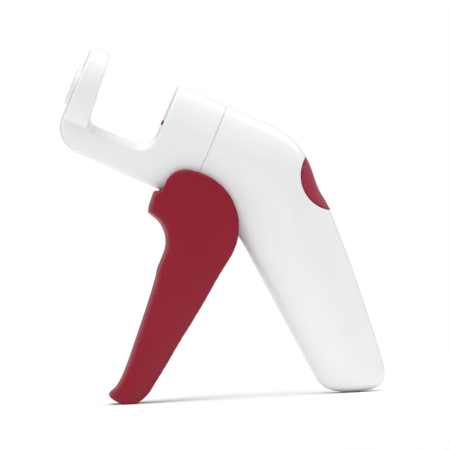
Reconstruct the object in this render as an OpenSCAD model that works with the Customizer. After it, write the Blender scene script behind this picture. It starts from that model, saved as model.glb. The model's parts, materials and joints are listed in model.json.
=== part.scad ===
// Pistol-grip fruit stoner: squeezing the lever drives a plunger across the fruit gap into a cup.
// Every piece is drawn in the tool's own frame: X runs back along the plunger axis from the nose
// face, Z is square to it and Y is across. stand() then tilts the whole tool onto its two feet.

/* [Stance] */
// Drop of the plunger axis towards the back, degrees
axis_tilt = 25.8; // [25:0.1:26.5]
// Height of the nose centre above the table
nose_height = 144.4; // [143:0.1:146]
// Distance of the nose centre ahead of the middle of the footprint
nose_forward = 28.4; // [26:0.1:32]

/* [Nose and cup] */
// Half height of the barrel at the nose
barrel_half_height = 21.2; // [20.5:0.1:22]
// Half width of the barrel at the nose
barrel_half_width = 17.5; // [17:0.1:18]
// Half width of the arm and of the lower body
web_half_width = 12.5; // [12:0.1:12.6]
// Clear gap between the nose face and the cup ring
fruit_gap = 37.8; // [36:0.1:39]
// Radius of the cup ring
ring_r = 22; // [21:0.1:23]
// Thickness of the cup ring at its centre
ring_thick = 11.4; // [10:0.1:12]
// Depth of the arm's bottom bar below the axis, top edge
bar_top = 15.4; // [15:0.1:16]
// Wall thickness of the mouldings
wall = 2.4; // [2.2:0.1:2.6]

/* [Lever] */
// Pivot position along the axis
pivot_x = 33; // [32.5:0.1:33.5]
// Pivot position below the axis
pivot_drop = 43; // [42.5:0.1:43.5]
// Travel of the lever, degrees
lever_travel = 56; // [54:0.5:57]
// Half width of the lever at its cheeks
lever_half_width = 15.9; // [15.5:0.1:16.2]
// Half width of the slot between the cheeks
cheek_gap = 12.9; // [12.8:0.1:13]
// Half width of the lever at its tip
tip_half_width = 13.2; // [12.5:0.1:13.5]

/* [Plunger] */
// Radius of the plunger rod
rod_r = 3.2; // [3:0.1:3.3]
// Radius of the rod's pitting tip
tip_r = 1.8; // [1.5:0.1:2]
// Radius of the slider sleeve
sleeve_r = 6.8; // [6.7:0.1:6.9]
// Radius of the slider's side trunnions
trunnion_r = 2.2; // [2:0.1:2.3]
// Wire diameter of the return spring
spring_wire = 0.9; // [0.8:0.1:1]
// Turns of the return spring
spring_turns = 14; // [10:1:15]
// Radius of the hole that the pits leave by
pit_hole_r = 6; // [5.5:0.1:6.5]
// Radius of the pivot axle
axle_r = 2.5; // [2.4:0.05:2.6]

/* [Hidden] */

$fn = 64;
eps = 0.01;
run_gap = 0.05;
seam_x = 27;
lug_r = 8;
hub_half = 4.7;
stem_half = 4.3;
lug_inner = 5;
tine_in = 7.6;
tine_out = 9.3;
tine_half = 6;
slot_half = 3.5;
fork_lean = lever_travel / 2;
pin_rest_x = pivot_x + pivot_drop * tan(fork_lean);
spring_seat_x = 7.7;
pocket_end_x = pin_rest_x + 13;
spring_r = 4.5;
bump_r = 10.5;
bump_out = 2.1;
rest_centre = [92.3, 9];
rest_r = 17.6;
half_steps = 16;
// Screw and dowel places on the body's middle plane, [x, z] and outer half width there
screw_spots = [[66, 12.6, 11], [54.5, -28.6, 10.9], [101, -36, 14.6], [138, -76, 13.6]];
dowel_spots = [[84, -22], [120, -57]];
arm_screw_spots = [[31, 6.5], [31, -1]];
arm_head_y = 16.2;

// Body sections from the seam to the butt: back point x, z, front point x, z, half width towards
// the back, half width towards the front, squareness of the front side.
SECTIONS = [
    [seam_x, 21.6, seam_x, -32.8, 17.5, 12.5, 0.45],
    [38, 21.4, 36, -33, 17.5, 12.5, 0.45],
    [48, 21.2, 43, -33.2, 17.4, 12.4, 0.45],
    [57, 20.8, 49, -34, 17.2, 12.3, 0.48],
    [64, 19.7, 54, -35.8, 16.9, 12.2, 0.52],
    [70.5, 17, 59, -38.6, 16.6, 12.2, 0.56],
    [76, 13, 64, -42.2, 16.3, 12.3, 0.6],
    [80.5, 8.9, 68, -45.4, 16, 12.6, 0.65],
    [84.5, 4.1, 72, -48.6, 15.8, 13, 0.7],
    [89, -0.7, 76, -51.8, 15.6, 13.4, 0.75],
    [93.6, -3.4, 80, -55, 15.4, 13.8, 0.8],
    [98.6, -7.8, 85, -59, 15.2, 14, 0.8],
    [109.6, -19.4, 95, -67, 15, 14.2, 0.8],
    [121.4, -31.6, 105, -75.1, 14.8, 14.3, 0.8],
    [132.4, -44, 114, -82.2, 14.6, 14.2, 0.8],
    [143, -56.2, 120.5, -87.5, 14.3, 14, 0.8],
    [152, -66.6, 124.6, -90.5, 14, 13.7, 0.8],
    [156.4, -71.8, 127, -92.4, 13.5, 13.3, 0.8],
    [158.8, -75.8, 129.4, -93.6, 12.6, 12.6, 0.8],
    [159, -79, 132.6, -94, 11, 11, 0.8],
    [157.4, -82.4, 137, -93.4, 8.6, 8.6, 0.8],
    [153.4, -86, 142.4, -92, 5, 5, 0.8]];

// ---- helpers ----

module stand()
    translate([-nose_forward, 0, nose_height])
        rotate([0, axis_tilt, 0])
            children();

// Cylinder across the tool at a point of the middle plane, from y0 to y1
module across(x, z, r, y0, y1)
    translate([x, y1, z])
        rotate([90, 0, 0])
            cylinder(r = r, h = y1 - y0);

// Cylinder along the plunger axis from x0 to x1
module along(r, x0, x1)
    translate([x0, 0, 0])
        rotate([0, 90, 0])
            cylinder(r = r, h = x1 - x0);

// Flat outline of the middle plane given thickness from y0 to y1
module plate(y0, y1)
    translate([0, y1, 0])
        rotate([90, 0, 0])
            linear_extrude(y1 - y0)
                children();

function ease(t) = let (c = min(1, max(0, t))) c * c * (3 - 2 * c);

// Points of a circular arc
function arc(centre, r, from, to, steps) =
    [for (i = [0:steps]) let (a = from + (to - from) * i / steps) centre + r * [cos(a), sin(a)]];

// One point of the smooth curve through four neighbours
function knot(p, q, r, s, t) =
    0.5 * (2 * q + (r - p) * t + (2 * p - 5 * q + 4 * r - s) * t * t
           + (3 * q - p - 3 * r + s) * t * t * t);

// Smooth open curve through points, ends kept
function curve(points, steps) = let (n = len(points) - 1) concat(
    [for (i = [0:n - 1], j = [0:steps - 1])
        knot(points[max(i - 1, 0)], points[i], points[i + 1], points[min(i + 2, n)], j / steps)],
    [points[n]]);

// Half width of a body section at share t of the way from its back to its front
function half_width(s, t, inset) = let (
    broad = s[4] + (s[5] - s[4]) * ease((t - 0.4) / 0.28),
    power = t < 0.5 ? 0.8 : 0.8 + (s[6] - 0.8) * ease((t - 0.5) / 0.2))
    max(0, broad - inset) * pow(sin(acos(1 - 2 * t)), power);

// Points right round a body section, drawn in by inset; none of them is on the middle plane
function section(s, inset) = let (
    run = [s[2] - s[0], s[3] - s[1]],
    draw_in = inset * run / norm(run),
    back = [s[0], s[1]] + draw_in,
    front = [s[2], s[3]] - draw_in)
    [for (i = [0:2 * half_steps - 1]) let (
        a = 180 * (i + 0.5) / half_steps,
        t = (1 - cos(a)) / 2,
        p = back + (front - back) * t)
        [p[0], sign(sin(a)) * half_width(s, t, inset), p[1]]];

// Solid body between two sections of the list
module body(inset, first, last) {
    n = 2 * half_steps;
    rings = last - first + 1;
    points = [for (k = [first:last]) each section(SECTIONS[k], inset)];
    walls = [for (k = [0:rings - 2], i = [0:n - 1]) each let (
        a = k * n + i, b = k * n + (i + 1) % n, c = a + n, d = b + n)
        [[a, b, c], [b, d, c]]];
    start = [for (i = [n - 1:-1:0]) i];
    end = [for (i = [0:n - 1]) (rings - 1) * n + i];
    polyhedron(points, concat(walls, [start, end]));
}

// Outline of the barrel seen along the axis
module barrel_outline(inset) {
    s = [0, barrel_half_height, 0, -32.6, barrel_half_width, web_half_width, 0.45];
    polygon([for (p = section(s, inset)) [p[1], p[2]]]);
}

// An outline seen along the axis, drawn out from x0 to x1
module along_prism(x0, x1)
    translate([x0, 0, 0])
        rotate([90, 0, 90])
            linear_extrude(x1 - x0)
                children();

// A pan head screw across the tool, its head at y, pointing to the left side
module cross_screw(x, z, y, length, shank_r, head_r) {
    difference() {
        across(x, z, head_r, y - 1.6, y);
        for (turn = [0, 90])
            translate([x, y, z])
                rotate([0, turn, 0])
                    cube([head_r * 1.2, 1.6, 0.8], center = true);
    }
    across(x, z, shank_r, y - 1.6 - length, y - 1.6 + eps);
}

// ---- body that stays still ----

// Side outline of the arm: nose, bottom bar and upright
module arm_outline() {
    ring_back = -fruit_gap - ring_thick;
    polygon(concat(
        [[seam_x, barrel_half_height + 0.4], [12, barrel_half_height + 0.4], [0, barrel_half_height]],
        arc([-10, -bar_top + 10], 10, 0, -90, 8),
        arc([-32, -bar_top + 4], 4, -90, -178, 5),
        [[-fruit_gap, 2], [-fruit_gap - 1.3, ring_r]],
        arc([ring_back + 2, ring_r - 2], 2, 90, 180, 4),
        arc([-35.2, -17.6], 13.8, 180, 268, 12),
        [[seam_x, -32.8]]));
}

// Room that the drive fork sweeps between the side walls
module fork_space() {
    translate([16, -9.9, -36]) cube([34, 19.8, 16]);
    translate([9, -9.9, -26]) cube([47, 19.8, 14]);
}

module front_arm() color("white") stand() difference() {
    union() {
        intersection() {
            plate(-ring_r, ring_r) arm_outline();
            union() {
                along_prism(-60, seam_x) barrel_outline(0);
                along(ring_r, -60, -30);
            }
        }
        // Spigot that enters the shells
        intersection() {
            along_prism(seam_x - eps, seam_x + 7) barrel_outline(wall + 0.1);
            translate([seam_x - 1, -20, -5]) cube([9, 40, 40]);
        }
    }
    difference() {
        union() {
            along_prism(3, seam_x + 8) barrel_outline(wall + 2.2);
            along_prism(3, seam_x - 3) barrel_outline(wall);
            intersection() {
                along_prism(3, seam_x + 1) barrel_outline(wall);
                translate([0, -20, -45]) cube([40, 40, 40]);
            }
            fork_space();
        }
        // Collar of the nose bush, pads of the arm screws and side skirts
        along(7.4, 0, 4.8);
        for (p = arm_screw_spots)
            across(p[0], p[1], 2.6, 10.6, 20);
        for (y = [-12.4, 10.1])
            translate([15, y, -32.6]) cube([seam_x - 15, 2.3, 9]);
    }
    along(6.6, 3, 6);
    along(4.7, -1, 4);
    // Seat of the cup insert and the way out for the pits
    along(13.6, -fruit_gap - 3, -fruit_gap + 5);
    along(9, -70, -fruit_gap);
    for (p = arm_screw_spots)
        across(p[0], p[1], 1.3, 9, 20);
}

module pit_cup() color("white") stand() difference() {
    union() {
        along(13.5, -fruit_gap - 2.9, -fruit_gap - 0.9);
        along(8.9, -fruit_gap - ring_thick - 0.5, -fruit_gap - 2.8);
        along(bump_r, -fruit_gap - ring_thick - bump_out, -fruit_gap - ring_thick);
    }
    // Dished seat for the fruit, running into the pit hole
    translate([-fruit_gap - 2.6, 0, 0])
        rotate([0, 90, 0])
            cylinder(r1 = pit_hole_r, r2 = 12.2, h = 1.8);
    along(pit_hole_r, -70, -fruit_gap);
}

module nose_bush() color("dimgray") stand() difference() {
    union() {
        along(6.6, 3, 4.8);
        along(5, 4.7, 7.2);
        along(4.7, 2, 3.1);
    }
    along(rod_r + run_gap, 0, 9);
}

module spring_washer() color("silver") stand() difference() {
    along(5, 7.2, spring_seat_x);
    along(rod_r + 0.2, 7, 8);
}

module slider_guide() color("gainsboro") stand() difference() {
    translate([12, -5, 5]) cube([46, 10, 10.3]);
    along(sleeve_r + run_gap, 0, 80);
    // Lightening pockets
    for (x = [18, 32, 46])
        translate([x, -3, 10]) cube([8, 6, 12]);
}

// Right-hand shell; screw heads sink into it where sunk is true
module shell(sunk) difference() {
    union() {
        intersection() {
            difference() {
                body(0, 0, len(SECTIONS) - 1);
                body(wall, 0, len(SECTIONS) - 4);
                rest_prism();
                fork_space();
            }
            translate([0, 0, -120]) cube([200, 40, 160]);
        }
        // Rib that holds the slider guide down
        translate([36, 0, 15.3]) cube([20, 5, 4.2]);
        // Lug that carries the pivot axle
        plate(10.1, 12.4) {
            translate([pivot_x, -pivot_drop]) circle(r = lug_r);
            polygon([[seam_x + 0.2, -24], [46, -24], [pivot_x + 7.6, -pivot_drop + 2.5],
                     [pivot_x, -pivot_drop], [pivot_x - 7.4, -pivot_drop + 3],
                     [seam_x + 0.2, -33]]);
        }
        across(pivot_x, -pivot_drop, lug_r - 0.5, lug_inner, 12.4);
        // Screw posts and dowel posts
        for (p = screw_spots)
            across(p[0], p[1], 3.2, 0, p[2] - 1.2);
        for (p = dowel_spots)
            across(p[0], p[1], 3, 0, 13.5);
    }
    across(pivot_x, -pivot_drop, axle_r, -20, 20);
    for (p = screw_spots) {
        across(p[0], p[1], 1.4, -1, sunk ? 30 : 7);
        if (sunk)
            across(p[0], p[1], 2.9, p[2] - 3.2, 30);
    }
    for (p = dowel_spots)
        across(p[0], p[1], 1.5, -1, 5);
    if (sunk)
        for (p = arm_screw_spots) {
            across(p[0], p[1], 1.3, 10, 30);
            across(p[0], p[1], 2.3, arm_head_y - 1.6, 30);
        }
    foot_cut();
}

// Everything below the table, in the tool's frame
module foot_cut()
    rotate([0, -axis_tilt, 0])
        translate([nose_forward - 100, -50, -nose_height - 20])
            cube([300, 100, 20]);

module body_shell_left() color("white") stand() mirror([0, 1, 0]) shell(false);

module body_shell_right() color("white") stand() shell(true);

// Space that the thumb rest fills, drawn right across the handle
module rest_prism()
    across(rest_centre[0], rest_centre[1], rest_r, -30, 30);

module thumb_rest() color("firebrick") stand() intersection() {
    body(0, 5, 12);
    rest_prism();
}

module pivot_axle() color("silver") stand()
    across(pivot_x, -pivot_drop, axle_r, -14.9, 14.9);

module shell_screws() color("silver") stand()
    for (p = screw_spots)
        cross_screw(p[0], p[1], p[2] - 1.6, p[2] + 2, 1.4, 2.8);

module arm_screws() color("silver") stand()
    for (p = arm_screw_spots)
        cross_screw(p[0], p[1], arm_head_y, 4, 1.3, 2.2);

module shell_dowels() color("gainsboro") stand()
    for (p = dowel_spots)
        across(p[0], p[1], 1.5, -4.8, 4.8);

// ---- lever body ----

// Side outline of the lever, from the front of the head over its top and down the back
module lever_outline()
    polygon(concat(
        [[12.3, -33.7]],
        arc([24.2, -28.6], 12, 170, 110, 5),
        arc([29.6, -46.4], 30.2, 98, -12, 22),
        curve([[58.6, -56], [57, -68], [55.4, -82], [52.7, -100], [50, -121], [48.6, -131]], 3),
        curve([[47.4, -134.8], [44, -139.5], [37.5, -142.3], [31.2, -142.2], [29.6, -140],
               [31.6, -135.4], [32.4, -129]], 3),
        curve([[32.3, -122], [31.2, -106], [29.8, -88], [28.5, -76], [27.4, -70], [27.4, -64],
               [26.8, -58], [24, -52.4], [19.2, -48.2], [13.6, -46.2]], 3),
        [[11.6, -45.6], [10.6, -42], [10, -33.7]]));

// Space between the cheeks, behind the finger wall
module channel_outline()
    polygon(concat(
        [[0, -8], [0, -33.7], [12.8, -33.7], [13.2, -43.4]],
        curve([[17.4, -44.9], [22, -47], [26, -51], [29, -56.6], [29.9, -64], [30, -70],
               [31, -76], [32.4, -90], [33.8, -108], [34.9, -124]], 2),
        [[36, -135], [40, -138.6], [75, -138.6], [75, -8]]));

// Front view of the lever: tapered towards the tip
module lever_taper(head, tip)
    along_prism(0, 80)
        polygon([[-head, 0], [-head, -50], [-tip, -146], [tip, -146], [head, -50], [head, 0]]);

module trigger_lever() color("firebrick") stand() difference() {
    union() {
        difference() {
            intersection() {
                plate(-lever_half_width, lever_half_width) lever_outline();
                lever_taper(lever_half_width, tip_half_width);
            }
            intersection() {
                plate(-lever_half_width, lever_half_width) channel_outline();
                lever_taper(cheek_gap, tip_half_width - 2.6);
            }
        }
        // Ribs that hold the fork's foot
        for (s = [-1, 1])
            plate(s * 4.2 - 1, s * 4.2 + 1)
                polygon([[27, -56.6], [38, -57.4], [40.5, -72], [28.4, -72]]);
        // Stiffening ribs across the channel
        for (z = [-88, -104, -120])
            translate([31.6 - 0.075 * (z + 88), -12, z]) cube([8, 24, 2]);
    }
    across(pivot_x, -pivot_drop, axle_r + run_gap, -15, 15);
    for (z = [-61, -68])
        across(34, z, 1.25, -8, 8);
    foot_cut();
}

module drive_fork() color("gainsboro") stand() difference() {
    union() {
        translate([pivot_x, 0, -pivot_drop]) rotate([0, fork_lean, 0]) difference() {
            union() {
                translate([-tine_half, -stem_half, 0]) cube([2 * tine_half, 2 * stem_half, 14]);
                translate([-tine_half, -tine_out, 9]) cube([2 * tine_half, 2 * tine_out, 6]);
                for (s = [-1, 1])
                    translate([-tine_half, s * (tine_in + tine_out) / 2 - (tine_out - tine_in) / 2, 9])
                        cube([2 * tine_half, tine_out - tine_in, 42]);
            }
            translate([-slot_half, -20, 40]) cube([2 * slot_half, 40, 20]);
        }
        across(pivot_x, -pivot_drop, 6.5, -hub_half, hub_half);
        // Foot held between the lever's ribs
        plate(-3.1, 3.1)
            polygon([[29, -46], [37.6, -46], [38, -71], [31.2, -71], [30.4, -58]]);
    }
    across(pivot_x, -pivot_drop, 3.5, -20, 20);
    for (z = [-61, -68])
        across(34, z, 1.25, -8, 8);
}

module fork_bush() color("dimgray") stand() difference() {
    across(pivot_x, -pivot_drop, 3.5, -hub_half, hub_half);
    across(pivot_x, -pivot_drop, axle_r + run_gap, -8, 8);
}

module fork_pins() color("silver") stand()
    for (z = [-61, -68])
        across(34, z, 1.25, -6.2, 6.2);

// ---- plunger body ----

module plunger_rod() color("firebrick") stand() difference() {
    union() {
        along(rod_r, 8, pocket_end_x + 2.6);
        translate([0.5, 0, 0])
            rotate([0, 90, 0])
                cylinder(r1 = tip_r, r2 = rod_r, h = 7.6);
    }
    // Four flutes along the pitting end
    for (turn = [45, 135, 225, 315])
        rotate([turn, 0, 0])
            translate([-1, 1, 1]) cube([7, 5, 5]);
    along(1, pocket_end_x - 6, pocket_end_x + 5);
}

module plunger_slider() color("gainsboro") stand() difference() {
    union() {
        along(sleeve_r, pin_rest_x - 3.2, pocket_end_x + 2.6);
        across(pin_rest_x, 0, trunnion_r, -9.8, 9.8);
    }
    along(5.3, pin_rest_x - 10, pocket_end_x);
    along(rod_r, pin_rest_x - 10, pocket_end_x + 5);
}

module rod_screw() color("silver") stand() {
    difference() {
        along(4.6, pocket_end_x + 2.6, pocket_end_x + 4.2);
        for (turn = [0, 90])
            translate([pocket_end_x + 4.2, 0, 0])
                rotate([turn, 0, 0])
                    cube([1.6, 5, 0.8], center = true);
    }
    along(1, pocket_end_x - 4, pocket_end_x + 2.6 + eps);
}

// Compression spring round the rod, swept along a helix
module return_spring() color("silver") stand() {
    sides = 6;
    per_turn = 14;
    count = spring_turns * per_turn;
    wire_r = spring_wire / 2;
    x0 = spring_seat_x + wire_r;
    x1 = pocket_end_x - wire_r;
    points = [for (k = [0:count], i = [0:sides - 1]) let (
        a = 360 * k / per_turn,
        b = 360 * i / sides,
        r = spring_r + wire_r * cos(b))
        [x0 + (x1 - x0) * k / count + wire_r * sin(b), r * cos(a), r * sin(a)]];
    walls = [for (k = [0:count - 1], i = [0:sides - 1]) each let (
        a = k * sides + i, b = k * sides + (i + 1) % sides)
        [[a, b, b + sides], [a, b + sides, a + sides]]];
    polyhedron(points, concat(walls,
        [[for (i = [sides - 1:-1:0]) i], [for (i = [0:sides - 1]) count * sides + i]]));
}

front_arm();
pit_cup();
nose_bush();
spring_washer();
slider_guide();
body_shell_left();
body_shell_right();
thumb_rest();
pivot_axle();
shell_screws();
arm_screws();
shell_dowels();
trigger_lever();
drive_fork();
fork_bush();
fork_pins();
plunger_rod();
plunger_slider();
rod_screw();
return_spring();
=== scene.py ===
# Pistol-grip fruit stoner: white moulded body and arm, red squeeze lever, soft red thumb saddle.
import json
import math
import bpy
import bmesh
from mathutils import Matrix, Vector


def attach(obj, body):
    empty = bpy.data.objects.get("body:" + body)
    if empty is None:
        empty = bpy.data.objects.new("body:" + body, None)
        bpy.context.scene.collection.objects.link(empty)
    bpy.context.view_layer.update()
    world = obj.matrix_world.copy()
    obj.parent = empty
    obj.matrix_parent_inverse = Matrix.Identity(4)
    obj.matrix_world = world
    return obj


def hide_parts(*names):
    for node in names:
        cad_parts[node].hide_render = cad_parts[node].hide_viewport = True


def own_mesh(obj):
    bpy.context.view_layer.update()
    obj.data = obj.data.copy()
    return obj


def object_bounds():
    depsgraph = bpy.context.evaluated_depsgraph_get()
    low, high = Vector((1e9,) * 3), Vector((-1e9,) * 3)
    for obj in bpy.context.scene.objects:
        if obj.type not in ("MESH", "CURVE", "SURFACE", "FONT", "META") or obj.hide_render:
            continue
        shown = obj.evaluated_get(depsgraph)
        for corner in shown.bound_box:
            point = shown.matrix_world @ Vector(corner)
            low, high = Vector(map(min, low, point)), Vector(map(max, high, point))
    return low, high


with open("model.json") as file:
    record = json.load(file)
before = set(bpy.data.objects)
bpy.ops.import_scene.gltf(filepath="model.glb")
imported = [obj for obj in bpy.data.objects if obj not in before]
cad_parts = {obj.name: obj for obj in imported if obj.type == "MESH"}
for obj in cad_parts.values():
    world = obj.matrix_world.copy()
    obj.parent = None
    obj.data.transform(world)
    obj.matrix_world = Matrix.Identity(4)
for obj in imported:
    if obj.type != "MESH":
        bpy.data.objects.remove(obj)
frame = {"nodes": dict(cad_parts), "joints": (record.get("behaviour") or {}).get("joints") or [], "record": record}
cadLow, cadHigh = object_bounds()
mm = 0.001

# ---- where the tool stands: its own frame runs back along the plunger, X, and square to it, Z
hinge = next(j for j in frame["joints"] if j["name"] == "lever_hinge")
slide = next(j for j in frame["joints"] if j["name"] == "plunger_slide")
tilt = math.atan2(slide["axis"][2], -slide["axis"][0])
pivot = Vector((33, 0, -43)) * mm  # the axle in the tool's own frame
lean = Matrix.Rotation(tilt, 4, "Y")
stance = Matrix.Translation(Vector(hinge["pos_m"]) - lean.to_3x3() @ pivot) @ lean


def deselectAll():
    if bpy.context.mode != "OBJECT":
        bpy.ops.object.mode_set(mode="OBJECT")
    bpy.ops.object.select_all(action="DESELECT")


def makeActive(piece):
    deselectAll()
    piece.select_set(True)
    bpy.context.view_layer.objects.active = piece


def named(name):
    piece = bpy.context.active_object
    piece.name = name
    piece.data.name = name
    return piece


def applyModifier(piece, kind, **settings):
    makeActive(piece)
    modifier = piece.modifiers.new(kind.lower(), kind)
    for key, value in settings.items():
        setattr(modifier, key, value)
    bpy.ops.object.modifier_apply(modifier=modifier.name)


def combine(piece, tool, operation):
    # the tool is used up
    applyModifier(piece, "BOOLEAN", object=tool, operation=operation, solver="EXACT")
    bpy.data.objects.remove(tool)


def arcPoints(centre, radius, start, end, steps):
    turns = [math.radians(start + (end - start) * i / steps) for i in range(steps + 1)]
    return [(centre[0] + radius * math.cos(a), centre[1] + radius * math.sin(a)) for a in turns]


def smoothPoints(points, steps):
    # a curve through the points, its ends kept
    made = []
    for i in range(len(points) - 1):
        p, q = points[max(i - 1, 0)], points[i]
        r, s = points[i + 1], points[min(i + 2, len(points) - 1)]
        for j in range(steps):
            t = j / steps
            made.append(tuple(
                0.5 * (2 * q[k] + (r[k] - p[k]) * t + (2 * p[k] - 5 * q[k] + 4 * r[k] - s[k]) * t * t
                       + (3 * q[k] - p[k] - 3 * r[k] + s[k]) * t ** 3) for k in (0, 1)))
    return made + [tuple(points[-1])]


def plate(name, outline, low, high):
    # one vertex is drawn along the side outline, filled, and the face is pulled across the tool
    deselectAll()
    x, z = outline[0]
    bpy.ops.mesh.primitive_plane_add(size=mm, location=(x * mm, low * mm, z * mm))
    piece = named(name)
    bpy.ops.object.transform_apply(location=True)
    bpy.ops.object.mode_set(mode="EDIT")
    bpy.ops.mesh.select_mode(type="VERT")
    bpy.ops.mesh.select_all(action="SELECT")
    bpy.ops.mesh.merge(type="CENTER")
    for (x0, z0), (x1, z1) in zip(outline, outline[1:]):
        step = ((x1 - x0) * mm, 0, (z1 - z0) * mm)
        bpy.ops.mesh.extrude_region_move(TRANSFORM_OT_translate={"value": step})
    bpy.ops.mesh.select_all(action="SELECT")
    bpy.ops.mesh.edge_face_add()
    bpy.ops.mesh.extrude_region_move(TRANSFORM_OT_translate={"value": (0, (high - low) * mm, 0)})
    bpy.ops.mesh.select_all(action="SELECT")
    bpy.ops.mesh.normals_make_consistent(inside=False)
    bpy.ops.object.mode_set(mode="OBJECT")
    return piece


def block(name, low, high):
    deselectAll()
    centre = [(a + b) / 2 * mm for a, b in zip(low, high)]
    bpy.ops.mesh.primitive_cube_add(size=1, location=centre,
                                    scale=[(b - a) * mm for a, b in zip(low, high)])
    piece = named(name)
    bpy.ops.object.transform_apply(location=True, scale=True)
    return piece


def pin(name, radius, start, end, vertices=96):
    # a cylinder between two points of the tool's frame
    deselectAll()
    a, b = Vector(start) * mm, Vector(end) * mm
    turn = (b - a).to_track_quat("Z", "Y").to_euler()
    bpy.ops.mesh.primitive_cylinder_add(vertices=vertices, radius=radius * mm, depth=(b - a).length,
                                        location=(a + b) / 2, rotation=turn)
    piece = named(name)
    bpy.ops.object.transform_apply(location=True, rotation=True)
    return piece


def ease(t):
    t = min(1, max(0, t))
    return t * t * (3 - 2 * t)


def sectionWidth(station, share, inset=0):
    # half width at a share of the way from the section's back to its front
    back, front, square = station[4] - inset, station[5] - inset, station[6]
    broad = back + (front - back) * ease((share - 0.4) / 0.28)
    power = 0.8 + (square - 0.8) * ease((share - 0.5) / 0.2)
    return broad, power


def addRing(first, name, across, depth, width, centre, turn=0.0):
    # one ring of a loft: flat at the origin, sized, leant and carried to its place
    if first:
        deselectAll()
    bpy.ops.mesh.primitive_circle_add(vertices=across, radius=1, location=(0, 0, 0))
    if first:
        named(name)
        bpy.ops.object.mode_set(mode="EDIT")
    bpy.ops.transform.resize(value=(depth * mm, width * mm, 1), center_override=(0, 0, 0))
    if turn:
        bpy.ops.transform.rotate(value=-turn, orient_axis="Y", center_override=(0, 0, 0))
    bpy.ops.transform.translate(value=Vector(centre) * mm)


def bridgeRings(piece, rings, across):
    bpy.ops.mesh.select_all(action="SELECT")
    bpy.ops.mesh.bridge_edge_loops()
    for k in (0, rings - 1):
        pickVertices(piece, range(k * across, (k + 1) * across))
        bpy.ops.mesh.edge_face_add()
    bpy.ops.mesh.select_all(action="SELECT")
    bpy.ops.mesh.normals_make_consistent(inside=False)


def loft(name, stations, inset=0, across=32):
    # a ring at each station, joined up, then each pair of points drawn out to its own width
    turns = [2 * math.pi * i / across for i in range(across)]
    for k, s in enumerate(stations):
        back, front = Vector((s[0], 0, s[1])), Vector((s[2], 0, s[3]))
        run = front - back
        addRing(k == 0, name, across, run.length / 2 - inset, s[4] - inset, (back + front) / 2,
                math.atan2(-run.z, run.x))
    piece = bpy.context.active_object
    bridgeRings(piece, len(stations), across)
    for k, s in enumerate(stations):
        for i in range(1, across // 4 + 1):
            for share, twins in (((1 - math.sin(turns[i])) / 2, (i, across // 2 - i)),
                                 ((1 + math.sin(turns[i])) / 2, (across // 2 + i, across - i))):
                if abs(math.cos(turns[i])) < 1e-6:
                    continue
                broad, power = sectionWidth(s, share, inset)
                factor = broad * abs(math.cos(turns[i])) ** (power - 1) / (s[4] - inset)
                pickVertices(piece, [k * across + j for j in twins])
                bpy.ops.transform.resize(value=(1, factor, 1), center_override=(0, 0, 0))
        broad, power = sectionWidth(s, 0.5, inset)
        pickVertices(piece, [k * across, k * across + across // 2])
        bpy.ops.transform.resize(value=(1, broad / (s[4] - inset), 1), center_override=(0, 0, 0))
    bpy.ops.object.mode_set(mode="OBJECT")
    return piece


def pickVertices(piece, wanted):
    wanted = set(wanted)
    bpy.ops.mesh.select_mode(type="VERT")
    bpy.ops.mesh.select_all(action="DESELECT")
    mesh = bmesh.from_edit_mesh(piece.data)
    mesh.verts.ensure_lookup_table()
    for i in wanted:
        mesh.verts[i].select_set(True)
    mesh.select_flush(True)
    bmesh.update_edit_mesh(piece.data)


def copyPiece(piece, name):
    made = piece.copy()
    made.data = piece.data.copy()
    made.name = name
    made.data.name = name
    bpy.context.scene.collection.objects.link(made)
    return made


def moulded(piece, grain, passes):
    # melts the parts of a piece into one skin and rounds its edges as a mould does
    applyModifier(piece, "REMESH", mode="VOXEL", voxel_size=grain * mm, adaptivity=0)
    applyModifier(piece, "SMOOTH", factor=0.5, iterations=passes)


def joinPieces(piece, others):
    makeActive(piece)
    for other in others:
        other.select_set(True)
    bpy.ops.object.join()


def standUp(piece):
    # from the tool's own frame to its place on the table
    makeActive(piece)
    piece.matrix_world = stance @ piece.matrix_world
    bpy.ops.object.transform_apply(location=True, rotation=True, scale=True)


def cutFoot(piece):
    # the flat that the tool stands on, cut while the piece is still in the tool's own frame
    low = cadLow.z / mm
    above = block("aboveTable", (-90, -30, low), (90, 30, low + 200))
    above.data.transform(stance.inverted())
    combine(piece, above, "INTERSECT")


def finishPiece(piece, body, material, nodes, angle=40):
    makeActive(piece)
    bpy.ops.object.shade_smooth_by_angle(angle=math.radians(angle))
    piece.data.materials.clear()
    piece.data.materials.append(material)
    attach(piece, body)
    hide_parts(*nodes)


# ---- finishes
def newGroup(name, inputs, outputs):
    group = bpy.data.node_groups.new(name, "ShaderNodeTree")
    for label, value in inputs:
        kind = "NodeSocketVector" if value is None else "NodeSocketFloat"
        socket = group.interface.new_socket(name=label, in_out="INPUT", socket_type=kind)
        if value is not None:
            socket.default_value = value
    for label in outputs:
        group.interface.new_socket(name=label, in_out="OUTPUT", socket_type="NodeSocketFloat")
    return group, group.nodes.new("NodeGroupInput"), group.nodes.new("NodeGroupOutput")


def addNode(tree, kind, settings=(), links=(), **values):
    node = tree.nodes.new(kind)
    for key, value in dict(settings).items():
        setattr(node, key, value)
    for socket, value in values.items():
        node.inputs[socket.replace("_", " ")].default_value = value
    for socket, source in dict(links).items():
        tree.links.new(source, node.inputs[socket])
    return node


def noise(tree, vector, scale, detail, rough):
    node = addNode(tree, "ShaderNodeTexNoise", links={"Vector": vector}, Detail=detail, Roughness=rough)
    if hasattr(scale, "is_linked"):
        tree.links.new(scale, node.inputs["Scale"])
    else:
        node.inputs["Scale"].default_value = scale
    return node.outputs["Fac"]


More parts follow.
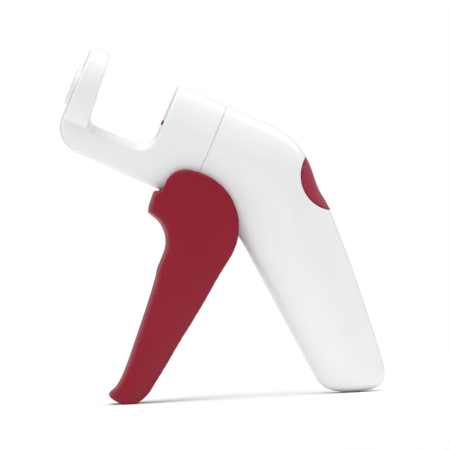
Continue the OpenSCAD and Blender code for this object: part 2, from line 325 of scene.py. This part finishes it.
def maths(tree, operation, a, b, clamp=False):
    node = addNode(tree, "ShaderNodeMath", {"operation": operation, "use_clamp": clamp})
    for i, value in enumerate((a, b)):
        if hasattr(value, "is_linked"):
            tree.links.new(value, node.inputs[i])
        else:
            node.inputs[i].default_value = value
    return node.outputs[0]


def mapRange(tree, value, low, high, toLow=0.0, toHigh=1.0):
    node = addNode(tree, "ShaderNodeMapRange", {"clamp": True}, {"Value": value},
                   From_Min=low, From_Max=high, To_Min=toLow, To_Max=toHigh)
    return node.outputs["Result"]


def makeMouldSkin():
    # the skin that a polished or textured mould leaves: fine peel, slow flow, faint handling marks
    group, given, made = newGroup("mouldSkin", [("Vector", None), ("Peel Scale", 900.0), ("Flow Scale", 30.0)],
                                  ["Peel", "Flow", "Marks"])
    vector = given.outputs["Vector"]
    peel = noise(group, vector, given.outputs["Peel Scale"], 3.0, 0.5)
    flow = noise(group, vector, given.outputs["Flow Scale"], 2.0, 0.45)
    stretched = addNode(group, "ShaderNodeMapping", links={"Vector": vector}, Scale=(1.0, 1.0, 7.0),
                        Rotation=(0.0, 0.5, 0.3)).outputs["Vector"]
    marks = mapRange(group, noise(group, stretched, 420.0, 5.0, 0.62), 0.58, 0.74)
    patches = mapRange(group, noise(group, vector, 45.0, 2.0, 0.5), 0.48, 0.62)
    group.links.new(peel, made.inputs["Peel"])
    group.links.new(flow, made.inputs["Flow"])
    group.links.new(maths(group, "MULTIPLY", marks, patches), made.inputs["Marks"])
    return group


def makeEdgeRub():
    # lightens the colour on convex edges: part scuffing where hands and drawers polish the outer edges, part
    # painted highlight along the rims, broken up so that it isn't an outline
    group, given, made = newGroup("edgeRub", [("Vector", None), ("Start", 0.52), ("End", 0.6)],
                                  ["Rub"])
    geometry = group.nodes.new("ShaderNodeNewGeometry")
    node = addNode(group, "ShaderNodeMapRange", {"clamp": True}, {"Value": geometry.outputs["Pointiness"],
                   "From Min": given.outputs["Start"], "From Max": given.outputs["End"]})
    breakup = mapRange(group, noise(group, given.outputs["Vector"], 160.0, 4.0, 0.6), 0.35, 0.65, 0.25, 1.0)
    group.links.new(maths(group, "MULTIPLY", node.outputs["Result"], breakup), made.inputs["Rub"])
    return group


def makeBrushing():
    # drawn or turned metal: long fine lines along one direction
    group, given, made = newGroup("brushing", [("Vector", None), ("Line Scale", 3000.0)], ["Lines", "Tarnish"])
    drawn = addNode(group, "ShaderNodeMapping", links={"Vector": given.outputs["Vector"]},
                    Scale=(1.0, 0.04, 1.0)).outputs["Vector"]
    group.links.new(noise(group, drawn, given.outputs["Line Scale"], 2.0, 0.6), made.inputs["Lines"])
    group.links.new(noise(group, given.outputs["Vector"], 240.0, 3.0, 0.55), made.inputs["Tarnish"])
    return group


mouldSkin = makeMouldSkin()
edgeRub = makeEdgeRub()
brushing = makeBrushing()


def useGroup(tree, group, **values):
    node = tree.nodes.new("ShaderNodeGroup")
    node.node_tree = group
    for socket, value in values.items():
        node.inputs[socket.replace("_", " ")].default_value = value
    coordinates = tree.nodes.new("ShaderNodeTexCoord")
    tree.links.new(coordinates.outputs["Object"], node.inputs["Vector"])
    return node


def mixColour(tree, factor, a, b):
    node = addNode(tree, "ShaderNodeMix", {"data_type": "RGBA"})
    tree.links.new(factor, node.inputs[0])
    for i, colour in ((6, a), (7, b)):
        if hasattr(colour, "is_linked"):
            tree.links.new(colour, node.inputs[i])
        else:
            node.inputs[i].default_value = (*colour, 1)
    return node.outputs[2]


def makePlastic(name, finish):
    material = bpy.data.materials.new(name)
    material.use_nodes = True
    tree = material.node_tree
    shader = tree.nodes["Principled BSDF"]
    for socket, value in finish["fixed"].items():
        shader.inputs[socket].default_value = value
    skin = useGroup(tree, mouldSkin, Peel_Scale=finish["peelScale"], Flow_Scale=finish["flowScale"])
    scuffAndHighlight = useGroup(tree, edgeRub, Start=finish["scuffAndHighlight"][0], End=finish["scuffAndHighlight"][1])
    base = mixColour(tree, skin.outputs["Flow"], finish["colour"], finish["flowColour"])
    # convex edges are lightened towards the edge colour: part scuffing, part painted highlight
    scuffAndHighlightAmount = maths(tree, "MULTIPLY", scuffAndHighlight.outputs["Rub"], finish["scuffAndHighlightShare"])
    tree.links.new(mixColour(tree, scuffAndHighlightAmount, base, finish["scuffAndHighlightColour"]), shader.inputs["Base Color"])
    rough = mapRange(tree, skin.outputs["Flow"], 0.3, 0.7, finish["rough"][0], finish["rough"][1])
    marked = maths(tree, "MULTIPLY", skin.outputs["Marks"], finish["markRough"])
    rough = maths(tree, "ADD", rough, marked, True)
    tree.links.new(rough, shader.inputs["Roughness"])
    height = maths(tree, "ADD", skin.outputs["Peel"], maths(tree, "MULTIPLY", skin.outputs["Marks"], -0.4))
    bump = addNode(tree, "ShaderNodeBump", links={"Height": height}, Strength=finish["bump"][0],
                   Distance=finish["bump"][1])
    tree.links.new(bump.outputs["Normal"], shader.inputs["Normal"])
    return material


def makeSteel(name, finish):
    material = bpy.data.materials.new(name)
    material.use_nodes = True
    tree = material.node_tree
    shader = tree.nodes["Principled BSDF"]
    shader.inputs["Metallic"].default_value = 1.0
    drawn = useGroup(tree, brushing, Line_Scale=finish["lineScale"])
    dull = mapRange(tree, drawn.outputs["Tarnish"], 0.35, 0.7)
    tree.links.new(mixColour(tree, dull, finish["colour"], finish["tarnish"]), shader.inputs["Base Color"])
    rough = mapRange(tree, drawn.outputs["Lines"], 0.3, 0.7, *finish["rough"])
    tree.links.new(rough, shader.inputs["Roughness"])
    bump = addNode(tree, "ShaderNodeBump", links={"Height": drawn.outputs["Lines"]}, Strength=0.25,
                   Distance=0.00004)
    tree.links.new(bump.outputs["Normal"], shader.inputs["Normal"])
    return material


# each edge colour lightens the convex edges: part scuffing, part painted highlight, strongest on the red lever's
# rims
whitePlastic = makePlastic("whitePlastic", {
    "fixed": {"IOR": 1.5, "Coat Weight": 0.15, "Coat Roughness": 0.12},
    "colour": (0.87, 0.875, 0.88), "flowColour": (0.876, 0.88, 0.884),
    "scuffAndHighlight": (0.53, 0.62), "scuffAndHighlightShare": 0.1, "scuffAndHighlightColour": (0.93, 0.93, 0.92),
    "rough": (0.29, 0.31), "markRough": 0.03, "peelScale": 700.0, "flowScale": 22.0, "bump": (0.12, 0.0001)})
leverRed = makePlastic("leverRed", {
    "fixed": {"IOR": 1.46, "Specular IOR Level": 0.35},
    "colour": (0.25, 0.004, 0.018), "flowColour": (0.28, 0.005, 0.021),
    "scuffAndHighlight": (0.52, 0.6), "scuffAndHighlightShare": 0.5, "scuffAndHighlightColour": (0.5, 0.03, 0.06),
    "rough": (0.36, 0.44), "markRough": 0.14, "peelScale": 1500.0, "flowScale": 26.0, "bump": (0.3, 0.00008)})
saddleRubber = makePlastic("saddleRubber", {
    "fixed": {"IOR": 1.48, "Sheen Weight": 0.12, "Sheen Roughness": 0.4},
    "colour": (0.29, 0.008, 0.034), "flowColour": (0.33, 0.01, 0.04),
    "scuffAndHighlight": (0.52, 0.6), "scuffAndHighlightShare": 0.4, "scuffAndHighlightColour": (0.48, 0.05, 0.09),
    "rough": (0.5, 0.58), "markRough": 0.1, "peelScale": 2400.0, "flowScale": 40.0, "bump": (0.5, 0.00008)})
darkAcetal = makePlastic("darkAcetal", {
    "fixed": {"IOR": 1.48},
    "colour": (0.035, 0.036, 0.04), "flowColour": (0.05, 0.05, 0.055),
    "scuffAndHighlight": (0.52, 0.6), "scuffAndHighlightShare": 0.4, "scuffAndHighlightColour": (0.12, 0.12, 0.13),
    "rough": (0.34, 0.44), "markRough": 0.15, "peelScale": 1800.0, "flowScale": 60.0, "bump": (0.25, 0.00006)})
naturalAcetal = makePlastic("naturalAcetal", {
    "fixed": {"IOR": 1.48, "Subsurface Weight": 0.1, "Subsurface Scale": 0.001},
    "colour": (0.7, 0.7, 0.66), "flowColour": (0.76, 0.76, 0.73),
    "scuffAndHighlight": (0.52, 0.6), "scuffAndHighlightShare": 0.3, "scuffAndHighlightColour": (0.84, 0.84, 0.82),
    "rough": (0.36, 0.46), "markRough": 0.12, "peelScale": 1400.0, "flowScale": 50.0, "bump": (0.2, 0.00006)})
zincSteel = makeSteel("zincSteel", {
    "colour": (0.62, 0.63, 0.65), "tarnish": (0.48, 0.49, 0.5), "rough": (0.22, 0.38), "lineScale": 3200.0})
finishes = {"white_plastic": whitePlastic, "red_plastic": leverRed, "red_rubber": saddleRubber,
            "dark_acetal": darkAcetal, "natural_acetal": naturalAcetal, "steel": zincSteel}

for part in frame["record"]["subparts"]:
    node = frame["nodes"][part["node"]]
    if not node.material_slots:
        node.data.materials.append(None)
    for place in node.material_slots:
        place.material = finishes[part["material_slot"]]
print("finishes made")


# ---- body: two hollow halves with a fine parting line, lofted down the barrel and the handle
body = {
    # back x, z, front x, z, half width at the back, half width at the front, squareness of the front
    "stations": [
        (27, 21.6, 27, -32.8, 17.5, 12.5, 0.45), (38, 21.4, 36, -33, 17.5, 12.5, 0.45),
        (48, 21.2, 43, -33.2, 17.4, 12.4, 0.45), (57, 20.8, 49, -34, 17.2, 12.3, 0.48),
        (64, 19.7, 54, -35.8, 16.9, 12.2, 0.52), (70.5, 17, 59, -38.6, 16.6, 12.2, 0.56),
        (76, 13, 64, -42.2, 16.3, 12.3, 0.6), (80.5, 8.9, 68, -45.4, 16, 12.6, 0.65),
        (84.5, 4.1, 72, -48.6, 15.8, 13, 0.7), (89, -0.7, 76, -51.8, 15.6, 13.4, 0.75),
        (93.6, -3.4, 80, -55, 15.4, 13.8, 0.8), (98.6, -7.8, 85, -59, 15.2, 14, 0.8),
        (109.6, -19.4, 95, -67, 15, 14.2, 0.8), (121.4, -31.6, 105, -75.1, 14.8, 14.3, 0.8),
        (132.4, -44, 114, -82.2, 14.6, 14.2, 0.8), (143, -56.2, 120.5, -87.5, 14.3, 14, 0.8),
        (152, -66.6, 124.6, -90.5, 14, 13.7, 0.8), (156.4, -71.8, 127, -92.4, 13.5, 13.3, 0.8),
        (158.8, -75.8, 129.4, -93.6, 12.6, 12.6, 0.8), (159, -79, 132.6, -94, 11, 11, 0.8),
        (157.4, -82.4, 137, -93.4, 8.6, 8.6, 0.8), (153.4, -86, 142.4, -92, 5, 5, 0.8)],
    "smoothing": 2, "wall": 2.4, "seamX": 27, "partingGap": 0.07, "seamGap": 0.03,
    # stations added before the seam, which the seam's cut takes off, and those the hollow stops short
    "skinLead": (15, 18, 22), "hollowLead": (17, 20, 23), "hollowShort": 3,
    "back": 200, "low": -120, "high": 60, "side": 40,  # a block past the body on every side
    "wellEnd": 30, "wellAround": 48,
    # x, z, start and radius of the holes over the screw heads
    "screwWells": [(66, 12.6, 7.8, 2.95), (54.5, -28.6, 7.7, 2.95), (101, -36, 11.4, 2.95),
                   (138, -76, 10.4, 2.95), (31, 6.5, 14.6, 2.35), (31, -1, 14.6, 2.35)],
    "forkRoom": ((16, -9.9, -36), (50, 9.9, -20)),
}
saddle = {"centre": (92.3, 9), "radius": 17.6, "edge": 0.7, "edgeSteps": 3, "sharp": 50, "gap": 0.08,
          "reach": 30, "around": 192}


def bevelSharp(piece, width, segments):
    makeActive(piece)
    bpy.ops.object.mode_set(mode="EDIT")
    bpy.ops.mesh.select_mode(type="EDGE")
    bpy.ops.mesh.select_all(action="DESELECT")
    mesh = bmesh.from_edit_mesh(piece.data)
    for edge in mesh.edges:
        if len(edge.link_faces) == 2 and edge.calc_face_angle(0) > math.radians(saddle["sharp"]):
            edge.select_set(True)
    bmesh.update_edit_mesh(piece.data)
    bpy.ops.mesh.bevel(offset=width * mm, segments=segments, affect="EDGES")
    bpy.ops.object.mode_set(mode="OBJECT")


def moved(station, x):
    return (x, station[1], x, *station[3:])


def saddleRound(name, radius):
    x, z = saddle["centre"]
    return pin(name, radius, (x, -saddle["reach"], z), (x, saddle["reach"], z), saddle["around"])


seam = body["stations"][0]
outer = [moved(seam, x) for x in body["skinLead"]] + body["stations"]
inner = [moved(seam, x) for x in body["hollowLead"]] + body["stations"][:-body["hollowShort"]]
hull = loft("bodyHull", outer)
applyModifier(hull, "SUBSURF", levels=body["smoothing"], render_levels=body["smoothing"])
solidHull = copyPiece(hull, "solidHull")
cutFoot(hull)
hollow = loft("bodyHollow", inner, body["wall"])
applyModifier(hollow, "SUBSURF", levels=body["smoothing"], render_levels=body["smoothing"])
combine(hull, hollow, "DIFFERENCE")
for name, across in (("bodyShellLeft", -1), ("bodyShellRight", 1)):
    half = copyPiece(hull, name)
    near, far = sorted((across * body["partingGap"], across * body["side"]))
    combine(half, block("halfSpace", (body["seamX"] + body["seamGap"], near, body["low"]),
                        (body["back"], far, body["high"])), "INTERSECT")
    combine(half, saddleRound("saddleCut", saddle["radius"] + saddle["gap"]), "DIFFERENCE")
    combine(half, block("forkRoom", *body["forkRoom"]), "DIFFERENCE")
    if across > 0:
        for x, z, start, radius in body["screwWells"]:
            well = pin("screwWell", radius, (x, start, z), (x, body["wellEnd"], z), body["wellAround"])
            combine(half, well, "DIFFERENCE")
    standUp(half)
    finishPiece(half, "body", whitePlastic,
                ["body_shell_left" if across < 0 else "body_shell_right"], 35)
    print(name, "made:", len(half.data.polygons), "faces")
bpy.data.objects.remove(hull)

thumbRest = copyPiece(solidHull, "thumbRest")
bpy.data.objects.remove(solidHull)
combine(thumbRest, saddleRound("saddleTool", saddle["radius"] - saddle["gap"]), "INTERSECT")
bevelSharp(thumbRest, saddle["edge"], saddle["edgeSteps"])
standUp(thumbRest)
finishPiece(thumbRest, "body", saddleRubber, ["thumb_rest"], 35)
print("thumb rest made")

# ---- lever: a domed bar with two cheeks round the body, hollow behind
lever = {
    "outline": [(12.3, -33.7)] + arcPoints((24.2, -28.6), 12, 170, 110, 8)
    + arcPoints((29.6, -46.4), 30.2, 98, -12, 44)
    + smoothPoints([(58.6, -56), (57, -68), (55.4, -82), (52.7, -100), (50, -121), (48.6, -131)], 5)
    + smoothPoints([(47.4, -134.8), (44, -139.5), (37.5, -142.3), (31.2, -142.2), (29.6, -140),
                    (31.6, -135.4), (32.4, -129)], 5)
    + smoothPoints([(32.3, -122), (31.2, -106), (29.8, -88), (28.5, -76), (27.4, -70), (27.4, -64),
                    (26.8, -58), (24, -52.4), (19.2, -48.2), (13.6, -46.2)], 5)
    + [(11.6, -45.6), (10.6, -42), (10, -33.7)],
    # the domed sides: height, middle x, half depth of the dome, half width
    "dome": [(-4, 35, 66, 15.9), (-30, 35, 64, 15.9), (-46, 36, 58, 15.9), (-58, 39, 46, 15.9),
             (-70, 41.5, 33, 15.9), (-84, 42, 27, 15.7), (-100, 41.7, 22, 15.1), (-116, 41, 19.5, 14.5),
             (-130, 40, 17, 13.9), (-140, 38.6, 16, 13.4), (-150, 38, 16, 13.2)],
    "channel": [(0, -8), (0, -33.7), (12.8, -33.7), (13.2, -43.4)]
    + smoothPoints([(17.4, -44.9), (22, -47), (26, -51), (29, -56.6), (29.9, -64), (30, -70),
                    (31, -76), (32.4, -90), (33.8, -108), (34.9, -124)], 4)
    + [(36, -135), (40, -138.6), (75, -138.6), (75, -8)],
    "cheekGap": 12.9, "tipGap": 10.6, "stiffeners": (-88, -104, -120),
    "footRibs": [(27, -56.6), (38, -57.4), (40.5, -72), (28.4, -72)],
    "footRibsAt": (-4.2, 4.2), "footRibHalf": 1,
    # the cross ribs follow the channel: front and back x at the first one, drift per mm, size
    "ribFront": 31.6, "ribBack": 39.6, "ribDrift": 0.075, "ribHalf": 12, "ribThick": 2,
    "half": 16.5, "channelHalf": 20, "axleRadius": 2.6, "axleHalf": 15,
    "grain": 0.5, "passes": 8,
    # the outer skin that is eased more: half width where it starts, its drift below a height
    "skinPasses": 40, "skinStart": 12.4, "skinDrift": 0.031, "skinTurn": -60,
    # the shallow dish in each cheek: its middle, reach and depth
    "dishAt": (31, -42), "dishSide": 15.5, "dishTouch": 1.6, "dishReach": 24, "dishDepth": 0.7,
}


def taperedBlock(name, top, headHalf, tipHalf):
    # a block across the lever whose lower part narrows towards the tip
    piece = block(name, (0, -headHalf, -50), (80, headHalf, top))
    makeActive(piece)
    bpy.ops.object.mode_set(mode="EDIT")
    pickVertices(piece, [v.index for v in piece.data.vertices if v.co.z < -49 * mm])
    bpy.ops.mesh.select_mode(type="FACE")
    bpy.ops.mesh.extrude_region_move(TRANSFORM_OT_translate={"value": (0, 0, -96 * mm)})
    bpy.ops.transform.resize(value=(1, tipHalf / headHalf, 1), center_override=(0, 0, 0))
    bpy.ops.object.mode_set(mode="OBJECT")
    return piece


def domeTool(stations, across=128):
    for k, (z, x, depth, width) in enumerate(stations):
        addRing(k == 0, "domeTool", across, depth, width, (x, 0, z))
    piece = bpy.context.active_object
    bridgeRings(piece, len(stations), across)
    bpy.ops.object.mode_set(mode="OBJECT")
    return piece


def roundSkin(piece, test, passes):
    # eases only the outer edges, so that thin walls keep their thickness
    makeActive(piece)
    bpy.ops.object.mode_set(mode="EDIT")
    pickVertices(piece, [v.index for v in piece.data.vertices if test(v.co)])
    bpy.ops.mesh.vertices_smooth(factor=0.5, repeat=passes)
    bpy.ops.object.mode_set(mode="OBJECT")


def dish(piece, spot, across):
    # presses a smooth shallow hollow into one cheek
    makeActive(piece)
    bpy.ops.object.mode_set(mode="EDIT")
    centre = Vector((spot[0] * mm, across * lever["dishSide"] * mm, spot[1] * mm))
    touch = lever["dishTouch"] * mm
    pickVertices(piece, [v.index for v in piece.data.vertices if (v.co - centre).length < touch])
    bpy.ops.transform.translate(value=(0, -across * lever["dishDepth"] * mm, 0),
                                use_proportional_edit=True, use_proportional_connected=True,
                                proportional_edit_falloff="SMOOTH",
                                proportional_size=lever["dishReach"] * mm)
    bpy.ops.object.mode_set(mode="OBJECT")


def inSkin(co):
    drift = lever["skinDrift"] * max(0, lever["skinTurn"] - co.z / mm)
    return abs(co.y) > (lever["skinStart"] - drift) * mm


trigger = plate("triggerLever", lever["outline"], -lever["half"], lever["half"])
combine(trigger, domeTool(lever["dome"]), "INTERSECT")
channel = plate("channel", lever["channel"], -lever["channelHalf"], lever["channelHalf"])
combine(channel, taperedBlock("channelTaper", 0, lever["cheekGap"], lever["tipGap"]), "INTERSECT")
combine(trigger, channel, "DIFFERENCE")
axle = [(pivot.x / mm, y, pivot.z / mm) for y in (-lever["axleHalf"], lever["axleHalf"])]
combine(trigger, pin("axleBore", lever["axleRadius"], *axle), "DIFFERENCE")
ribs = [plate("footRib", lever["footRibs"], y - lever["footRibHalf"], y + lever["footRibHalf"])
        for y in lever["footRibsAt"]]
for z in lever["stiffeners"]:
    drift = lever["ribDrift"] * (z - lever["stiffeners"][0])
    ribs.append(block("stiffener", (lever["ribFront"] - drift, -lever["ribHalf"], z),
                      (lever["ribBack"] - drift, lever["ribHalf"], z + lever["ribThick"])))
joinPieces(trigger, ribs)
moulded(trigger, lever["grain"], lever["passes"])
for across in (-1, 1):
    dish(trigger, lever["dishAt"], across)
roundSkin(trigger, inSkin, lever["skinPasses"])
cutFoot(trigger)
standUp(trigger)
finishPiece(trigger, "lever", leverRed, ["trigger_lever"], 50)
print("lever made:", len(trigger.data.polygons), "faces")

# ---- front arm: nose, bottom bar and upright with its ring, one moulding
arm = {
    "outline": [(27, 21.6), (12, 21.6), (0, 21.2)] + arcPoints((-10, -5.4), 10, 0, -90, 20)
    + arcPoints((-32, -11.4), 4, -90, -178, 14) + [(-37.8, 2), (-39.1, 22)]
    + arcPoints((-47.2, 20), 2, 90, 180, 8) + arcPoints((-35.2, -17.6), 13.8, 180, 268, 36) + [(27, -32.8)],
    "half": 23, "front": -62, "back": 30,
    "nose": (0, 21.4, 0, -32.6, 17.5, 12.5, 0.45), "seam": body["stations"][0],
    "ring": 22, "ringSpan": (-60, -30), "ringAround": 192, "grain": 0.5, "passes": 7,
    "hollowStart": 4.8, "hollowEnd": 32,
    # radius, start and end of the bores: plunger, its bush, the cup's seat, the way through it
    "bores": ((4.7, -2, 4), (6.6, 3, 6), (13.6, -40.8, -32.8), (9, -70, -36)),
    "gapOutline": [(0, 2), (0, -5.4)] + arcPoints((-10, -5.4), 10, 0, -90, 16)
    + arcPoints((-32, -11.4), 4, -90, -178, 10) + [(-37, -4)],
    "forkRooms": (((16, -9.9, -36), (34, 9.9, -20)), ((9, -9.9, -26), (34, 9.9, -12)),
                  ((3.2, 6.9, -20), (30, 9.9, 8)), ((3.2, -9.9, -20), (30, -6.9, 8))),
    "behindSeam": ((body["seamX"], -30, -50), (60, 30, 40)),
    # the chamfer round the fruit gap: where it starts across, how far it drops, what clears the side
    "flareStart": 9.1, "flareEnd": 12.2, "flareZ": 1.27, "flareFrom": 2, "flareOut": 8,
}


def barrel(name, start, end, inset):
    # the nose's outline drawn out along the plunger axis, growing to the outline at the seam
    stations = []
    for x in (start, start + 0.01, 0, body["seamX"], end - 0.01, end):
        share = min(1, max(0, x / body["seamX"]))
        station = [a + (b - a) * share for a, b in zip(arm["nose"], arm["seam"])]
        station[0] = station[2] = x
        stations.append(tuple(station))
    if start > 0:
        stations.pop(2)
    piece = loft(name, stations, inset)
    applyModifier(piece, "SUBSURF", levels=body["smoothing"], render_levels=body["smoothing"])
    return piece


frontArm = plate("frontArm", arm["outline"], -arm["half"], arm["half"])
section = barrel("armSection", arm["front"], arm["back"], 0)
ring = [(x, 0, 0) for x in arm["ringSpan"]]
combine(section, pin("ringBlank", arm["ring"], *ring, arm["ringAround"]), "UNION")
combine(frontArm, section, "INTERSECT")
combine(frontArm, barrel("hollow", arm["hollowStart"], arm["hollowEnd"], body["wall"]), "DIFFERENCE")
for low, high in arm["forkRooms"]:
    combine(frontArm, block("forkRoom", low, high), "DIFFERENCE")
for radius, start, end in arm["bores"]:
    combine(frontArm, pin("bore", radius, (start, 0, 0), (end, 0, 0)), "DIFFERENCE")
for across in (-1, 1):
    flare = plate("flare", arm["gapOutline"], arm["flareStart"], arm["flareEnd"])
    makeActive(flare)
    bpy.ops.object.mode_set(mode="EDIT")
    middle = (arm["flareStart"] + arm["flareEnd"]) / 2 * mm
    pickVertices(flare, [v.index for v in flare.data.vertices if v.co.y > middle])
    bpy.ops.transform.resize(value=(1, 1, arm["flareZ"]), center_override=(0, 0, arm["flareFrom"] * mm))
    bpy.ops.mesh.select_mode(type="FACE")
    bpy.ops.mesh.extrude_region_move(TRANSFORM_OT_translate={"value": (0, arm["flareOut"] * mm, 0)})
    bpy.ops.mesh.select_all(action="SELECT")
    bpy.ops.transform.resize(value=(1, across, 1), center_override=(0, 0, 0))
    bpy.ops.mesh.normals_make_consistent(inside=False)
    bpy.ops.object.mode_set(mode="OBJECT")
    combine(frontArm, flare, "DIFFERENCE")
moulded(frontArm, arm["grain"], arm["passes"])
combine(frontArm, block("behindSeam", *arm["behindSeam"]), "DIFFERENCE")
standUp(frontArm)
finishPiece(frontArm, "body", whitePlastic, ["front_arm"], 50)
print("front arm made:", len(frontArm.data.polygons), "faces")

# ---- plunger: a rod with a cone and a fluted tip that shows in the nose
plunger = {
    "radius": 3.2, "around": 64, "coneStart": 0.6, "coneEnd": 8.1, "end": 71.46,
    "tipRadius": 1.6, "tipStart": -0.7, "tipTaper": 0.7,
    # the four flutes: the cross left between them, how far out and from where to where they cut
    "cross": 0.55, "fluteOut": 6, "fluteStart": -3, "fluteEnd": 5.5,
    "screwRadius": 1, "screwSpan": (67.5, 73), "screwAround": 32,
}
rod = pin("plungerRod", plunger["radius"], (plunger["coneEnd"], 0, 0), (plunger["end"], 0, 0),
          plunger["around"])
makeActive(rod)
bpy.ops.object.mode_set(mode="EDIT")
middle = (plunger["coneEnd"] + plunger["end"]) / 2 * mm
pickVertices(rod, [v.index for v in rod.data.vertices if v.co.x < middle])
bpy.ops.mesh.select_mode(type="FACE")
for step, share in ((plunger["coneStart"] - plunger["coneEnd"], plunger["tipRadius"] / plunger["radius"]),
                    (plunger["tipStart"] - plunger["coneStart"], plunger["tipTaper"])):
    bpy.ops.mesh.extrude_region_move(TRANSFORM_OT_translate={"value": (step * mm, 0, 0)})
    bpy.ops.transform.resize(value=(1, share, share), center_override=(0, 0, 0))
bpy.ops.object.mode_set(mode="OBJECT")
for across in (-1, 1):
    for up in (-1, 1):
        ys = sorted((across * plunger["cross"], across * plunger["fluteOut"]))
        zs = sorted((up * plunger["cross"], up * plunger["fluteOut"]))
        flute = block("flute", (plunger["fluteStart"], ys[0], zs[0]), (plunger["fluteEnd"], ys[1], zs[1]))
        combine(rod, flute, "DIFFERENCE")
hole = [(x, 0, 0) for x in plunger["screwSpan"]]
combine(rod, pin("screwHole", plunger["screwRadius"], *hole, plunger["screwAround"]), "DIFFERENCE")
standUp(rod)
finishPiece(rod, "plunger", leverRed, ["plunger_rod"], 35)
print("plunger made")

# ---- return spring (on the real tool it closes up towards its washer as the plunger goes forward): the CAD spring, given a mesh of its own
spring = frame["nodes"]["return_spring"]
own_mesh(spring)
print("spring set")

# ---- floor, light and camera
studio = {
    "floorSize": 1.0, "floorDrop": 0.0003, "floorTone": (0.98, 0.98, 0.98, 1.0), "floorRough": 0.9,
    "skyLow": 0.36, "skyHigh": 0.85, "skyBand": (0.0, 0.8),  # its glow from level up to overhead
    # power, size and place of each soft lamp
    "lamps": {"key": (9.6, 1.0, (-0.25, -0.5, 1.5)), "rim": (4.5, 0.8, (0.9, 0.35, 1.1)),
              "side": (3.0, 0.9, (-1.3, -0.1, 0.5))},
    "lookAt": (0.0014, 0, 0.0898),
}

deselectAll()
bpy.ops.mesh.primitive_plane_add(size=studio["floorSize"], location=(0, 0, cadLow.z - studio["floorDrop"]))
floor = named("floor")
floorTone = bpy.data.materials.new("floorTone")
floorTone.use_nodes = True
floorShader = floorTone.node_tree.nodes["Principled BSDF"]
floorShader.inputs["Base Color"].default_value = studio["floorTone"]
floorShader.inputs["Roughness"].default_value = studio["floorRough"]
floor.data.materials.append(floorTone)

world = bpy.data.worlds.new("softRoom")
bpy.context.scene.world = world
world.use_nodes = True
sky = world.node_tree.nodes["Background"]
sky.inputs["Color"].default_value = (1, 1, 1, 1)
seen = world.node_tree.nodes.new("ShaderNodeLightPath")
direction = world.node_tree.nodes.new("ShaderNodeTexCoord")
axes = addNode(world.node_tree, "ShaderNodeSeparateXYZ", links={"Vector": direction.outputs["Generated"]})
glow = mapRange(world.node_tree, axes.outputs["Z"], *studio["skyBand"], studio["skyLow"],
                studio["skyHigh"])
strength = addNode(world.node_tree, "ShaderNodeMix", {"data_type": "FLOAT"},
                   {"Factor": seen.outputs["Is Camera Ray"], "A": glow}, B=1.0)
world.node_tree.links.new(strength.outputs["Result"], sky.inputs["Strength"])

lookAt = Vector(studio["lookAt"])
for name, (power, size, place) in studio["lamps"].items():
    deselectAll()
    bpy.ops.object.light_add(type="AREA", location=place)
    lamp = bpy.context.active_object
    lamp.name = name + "Light"
    lamp.data.energy = power
    lamp.data.size = size
    lamp.rotation_euler = (lookAt - lamp.location).to_track_quat("-Z", "Y").to_euler()

shot = {"turn": -4.0, "rise": 0.3, "roll": -2.8, "distance": 2.4, "span": 0.234}
turn, rise = math.radians(shot["turn"]), math.radians(shot["rise"])
towards = Vector((math.sin(turn) * math.cos(rise), -math.cos(turn) * math.cos(rise), math.sin(rise)))
bpy.ops.object.camera_add(location=lookAt + towards * shot["distance"])
camera = bpy.context.active_object
camera.name = "camera"
camera.rotation_mode = "QUATERNION"
camera.rotation_quaternion = ((-towards).to_track_quat("-Z", "Y")
                              @ Matrix.Rotation(math.radians(shot["roll"]), 3, "Z").to_quaternion())
camera.data.lens = camera.data.sensor_width * shot["distance"] / shot["span"]
camera.data.clip_end = 20
bpy.context.scene.camera = camera
bpy.context.scene.view_settings.view_transform = "Standard"
print("room ready")
